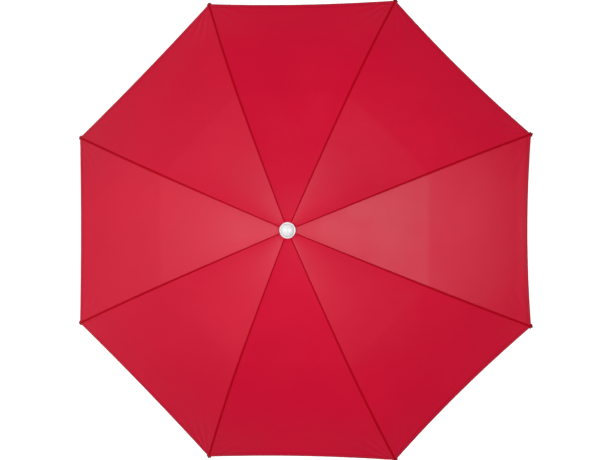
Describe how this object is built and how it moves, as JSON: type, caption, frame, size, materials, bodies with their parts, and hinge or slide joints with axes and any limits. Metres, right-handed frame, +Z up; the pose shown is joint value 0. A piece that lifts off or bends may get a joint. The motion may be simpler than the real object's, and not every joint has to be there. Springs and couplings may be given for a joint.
{
  "type": "beach umbrella",
  "caption": "Round folding beach umbrella with a gored cloth canopy on wire ribs and stretchers, a white dome cap, a tilting telescopic pole with a screw clamp, and a sand spike.",
  "frame": {"origin": "tip of the ground spike, on the pole's axis", "axes": "+Z up the pole to the cap; ribs stand at 22.5 degrees and every 45 degrees from +X; the clamp knob points along +X"},
  "size_m": [1.3876, 1.3876, 1.9],
  "materials": {
    "white_moulding": "satin moulded white plastic",
    "white_cap": "smooth moulded white plastic",
    "white_tube": "white powder coat on steel tube",
    "brass_insert": "turned",
    "grey_moulding": "moulded",
    "bright_steel": "zinc plated",
    "frame_wire": "white coated spring steel wire",
    "dark_tip": "dark red moulded",
    "red_button": "moulded",
    "canopy_cloth": "plain-woven red polyester"
  },
  "bodies": {
    "lower_stage": {"ground_spike": "white_moulding", "lower_pole": "white_tube", "clamp_collar": "white_moulding", "clamp_nut": "brass_insert"},
    "clamp": {"clamp_screw": "bright_steel", "clamp_knob": "white_moulding"},
    "middle_stage": {"middle_pole": "white_tube", "glide_plug": "grey_moulding", "tilt_socket": "white_moulding", "tilt_pin": "bright_steel"},
    "head": {"tilt_knuckle": "white_moulding", "tilt_spring": "bright_steel", "top_pole": "white_tube", "crown": "white_moulding", "crown_wire": "bright_steel", "canopy_washer": "white_moulding", "cap": "white_cap"},
    "tilt_lock": {"tilt_button": "red_button"},
    "runner": {"runner": "white_moulding"},
    "catch": {"runner_catch": "bright_steel"},
    "rib_arm_1": {"rib_1": "frame_wire", "rib_tip_1": "dark_tip", "rib_joint_1": "bright_steel", "canopy_1": "canopy_cloth"},
    "rib_arm_2": {"rib_2": "frame_wire", "rib_tip_2": "dark_tip", "rib_joint_2": "bright_steel", "canopy_2": "canopy_cloth"},
    "rib_arm_3": {"rib_3": "frame_wire", "rib_tip_3": "dark_tip", "rib_joint_3": "bright_steel", "canopy_3": "canopy_cloth"},
    "rib_arm_4": {"rib_4": "frame_wire", "rib_tip_4": "dark_tip", "rib_joint_4": "bright_steel", "canopy_4": "canopy_cloth"},
    "rib_arm_5": {"rib_5": "frame_wire", "rib_tip_5": "dark_tip", "rib_joint_5": "bright_steel", "canopy_5": "canopy_cloth"},
    "rib_arm_6": {"rib_6": "frame_wire", "rib_tip_6": "dark_tip", "rib_joint_6": "bright_steel", "canopy_6": "canopy_cloth"},
    "rib_arm_7": {"rib_7": "frame_wire", "rib_tip_7": "dark_tip", "rib_joint_7": "bright_steel", "canopy_7": "canopy_cloth"},
    "rib_arm_8": {"rib_8": "frame_wire", "rib_tip_8": "dark_tip", "rib_joint_8": "bright_steel", "canopy_8": "canopy_cloth"},
    "stretcher_arm_1": {"stretcher_1": "frame_wire"},
    "stretcher_arm_2": {"stretcher_2": "frame_wire"},
    "stretcher_arm_3": {"stretcher_3": "frame_wire"},
    "stretcher_arm_4": {"stretcher_4": "frame_wire"},
    "stretcher_arm_5": {"stretcher_5": "frame_wire"},
    "stretcher_arm_6": {"stretcher_6": "frame_wire"},
    "stretcher_arm_7": {"stretcher_7": "frame_wire"},
    "stretcher_arm_8": {"stretcher_8": "frame_wire"}
  },
  "joints": [
    {"name": "height_slide", "type": "slide", "parent": "lower_stage", "child": "middle_stage", "axis": [0, 0, 1], "range_m": [-0.17, 0.1]},
    {"name": "clamp_turn", "type": "hinge", "parent": "lower_stage", "child": "clamp", "pos_m": [0.03, 0, 0.684], "axis": [1, 0, 0], "range_deg": [0, 270]},
    {"name": "tilt", "type": "hinge", "parent": "middle_stage", "child": "head", "pos_m": [0, 0, 0.925], "axis": [0, 1, 0], "range_deg": [0, 35]},
    {"name": "tilt_press", "type": "slide", "parent": "head", "child": "tilt_lock", "axis": [0, -1, 0], "range_m": [0, 0.0028], "stiffness_N_per_m": 600, "springref_m": -0.001, "deforming": ["tilt_spring"]},
    {"name": "runner_slide", "type": "slide", "parent": "head", "child": "runner", "axis": [0, 0, -1], "range_m": [0, 0.6274], "deforming": ["canopy_1", "canopy_2", "canopy_3", "canopy_4", "canopy_5", "canopy_6", "canopy_7", "canopy_8", "runner_catch"]},
    {"name": "catch_press", "type": "slide", "parent": "head", "child": "catch", "axis": [-1, 0, 0], "range_m": [0, 0.0043], "stiffness_N_per_m": 400, "springref_m": -0.001},
    {"name": "rib_fold_1", "type": "hinge", "parent": "head", "child": "rib_arm_1", "pos_m": [0.01663, 0.00689, 1.875], "axis": [-0.3827, 0.9239, 0], "range_deg": [0, 66.6]},
    {"name": "rib_fold_2", "type": "hinge", "parent": "head", "child": "rib_arm_2", "pos_m": [0.00689, 0.01663, 1.875], "axis": [-0.9239, 0.3827, 0], "range_deg": [0, 66.6]},
    {"name": "rib_fold_3", "type": "hinge", "parent": "head", "child": "rib_arm_3", "pos_m": [-0.00689, 0.01663, 1.875], "axis": [-0.9239, -0.3827, 0], "range_deg": [0, 66.6]},
    {"name": "rib_fold_4", "type": "hinge", "parent": "head", "child": "rib_arm_4", "pos_m": [-0.01663, 0.00689, 1.875], "axis": [-0.3827, -0.9239, 0], "range_deg": [0, 66.6]},
    {"name": "rib_fold_5", "type": "hinge", "parent": "head", "child": "rib_arm_5", "pos_m": [-0.01663, -0.00689, 1.875], "axis": [0.3827, -0.9239, 0], "range_deg": [0, 66.6]},
    {"name": "rib_fold_6", "type": "hinge", "parent": "head", "child": "rib_arm_6", "pos_m": [-0.00689, -0.01663, 1.875], "axis": [0.9239, -0.3827, 0], "range_deg": [0, 66.6]},
    {"name": "rib_fold_7", "type": "hinge", "parent": "head", "child": "rib_arm_7", "pos_m": [0.00689, -0.01663, 1.875], "axis": [0.9239, 0.3827, 0], "range_deg": [0, 66.6]},
    {"name": "rib_fold_8", "type": "hinge", "parent": "head", "child": "rib_arm_8", "pos_m": [0.01663, -0.00689, 1.875], "axis": [0.3827, 0.9239, 0], "range_deg": [0, 66.6]},
    {"name": "stretcher_fold_1", "type": "hinge", "parent": "rib_arm_1", "child": "stretcher_arm_1", "pos_m": [0.39492, 0.16358, 1.7723], "axis": [-0.3827, 0.9239, 0], "range_deg": [-133.2, 0]},
    {"name": "stretcher_fold_2", "type": "hinge", "parent": "rib_arm_2", "child": "stretcher_arm_2", "pos_m": [0.16358, 0.39492, 1.7723], "axis": [-0.9239, 0.3827, 0], "range_deg": [-133.2, 0]},
    {"name": "stretcher_fold_3", "type": "hinge", "parent": "rib_arm_3", "child": "stretcher_arm_3", "pos_m": [-0.16358, 0.39492, 1.7723], "axis": [-0.9239, -0.3827, 0], "range_deg": [-133.2, 0]},
    {"name": "stretcher_fold_4", "type": "hinge", "parent": "rib_arm_4", "child": "stretcher_arm_4", "pos_m": [-0.39492, 0.16358, 1.7723], "axis": [-0.3827, -0.9239, 0], "range_deg": [-133.2, 0]},
    {"name": "stretcher_fold_5", "type": "hinge", "parent": "rib_arm_5", "child": "stretcher_arm_5", "pos_m": [-0.39492, -0.16358, 1.7723], "axis": [0.3827, -0.9239, 0], "range_deg": [-133.2, 0]},
    {"name": "stretcher_fold_6", "type": "hinge", "parent": "rib_arm_6", "child": "stretcher_arm_6", "pos_m": [-0.16358, -0.39492, 1.7723], "axis": [0.9239, -0.3827, 0], "range_deg": [-133.2, 0]},
    {"name": "stretcher_fold_7", "type": "hinge", "parent": "rib_arm_7", "child": "stretcher_arm_7", "pos_m": [0.16358, -0.39492, 1.7723], "axis": [0.9239, 0.3827, 0], "range_deg": [-133.2, 0]},
    {"name": "stretcher_fold_8", "type": "hinge", "parent": "rib_arm_8", "child": "stretcher_arm_8", "pos_m": [0.39492, -0.16358, 1.7723], "axis": [0.3827, 0.9239, 0], "range_deg": [-133.2, 0]}
  ],
  "couplings": [
    {"joint": "rib_fold_1", "follows": "runner_slide", "rad_per_m": 1.8499},
    {"joint": "rib_fold_2", "follows": "runner_slide", "rad_per_m": 1.8499},
    {"joint": "rib_fold_3", "follows": "runner_slide", "rad_per_m": 1.8499},
    {"joint": "rib_fold_4", "follows": "runner_slide", "rad_per_m": 1.8499},
    {"joint": "rib_fold_5", "follows": "runner_slide", "rad_per_m": 1.8499},
    {"joint": "rib_fold_6", "follows": "runner_slide", "rad_per_m": 1.8499},
    {"joint": "rib_fold_7", "follows": "runner_slide", "rad_per_m": 1.8499},
    {"joint": "rib_fold_8", "follows": "runner_slide", "rad_per_m": 1.8499},
    {"joint": "stretcher_fold_1", "follows": "runner_slide", "rad_per_m": -3.6999},
    {"joint": "stretcher_fold_2", "follows": "runner_slide", "rad_per_m": -3.6999},
    {"joint": "stretcher_fold_3", "follows": "runner_slide", "rad_per_m": -3.6999},
    {"joint": "stretcher_fold_4", "follows": "runner_slide", "rad_per_m": -3.6999},
    {"joint": "stretcher_fold_5", "follows": "runner_slide", "rad_per_m": -3.6999},
    {"joint": "stretcher_fold_6", "follows": "runner_slide", "rad_per_m": -3.6999},
    {"joint": "stretcher_fold_7", "follows": "runner_slide", "rad_per_m": -3.6999},
    {"joint": "stretcher_fold_8", "follows": "runner_slide", "rad_per_m": -3.6999}
  ]
}
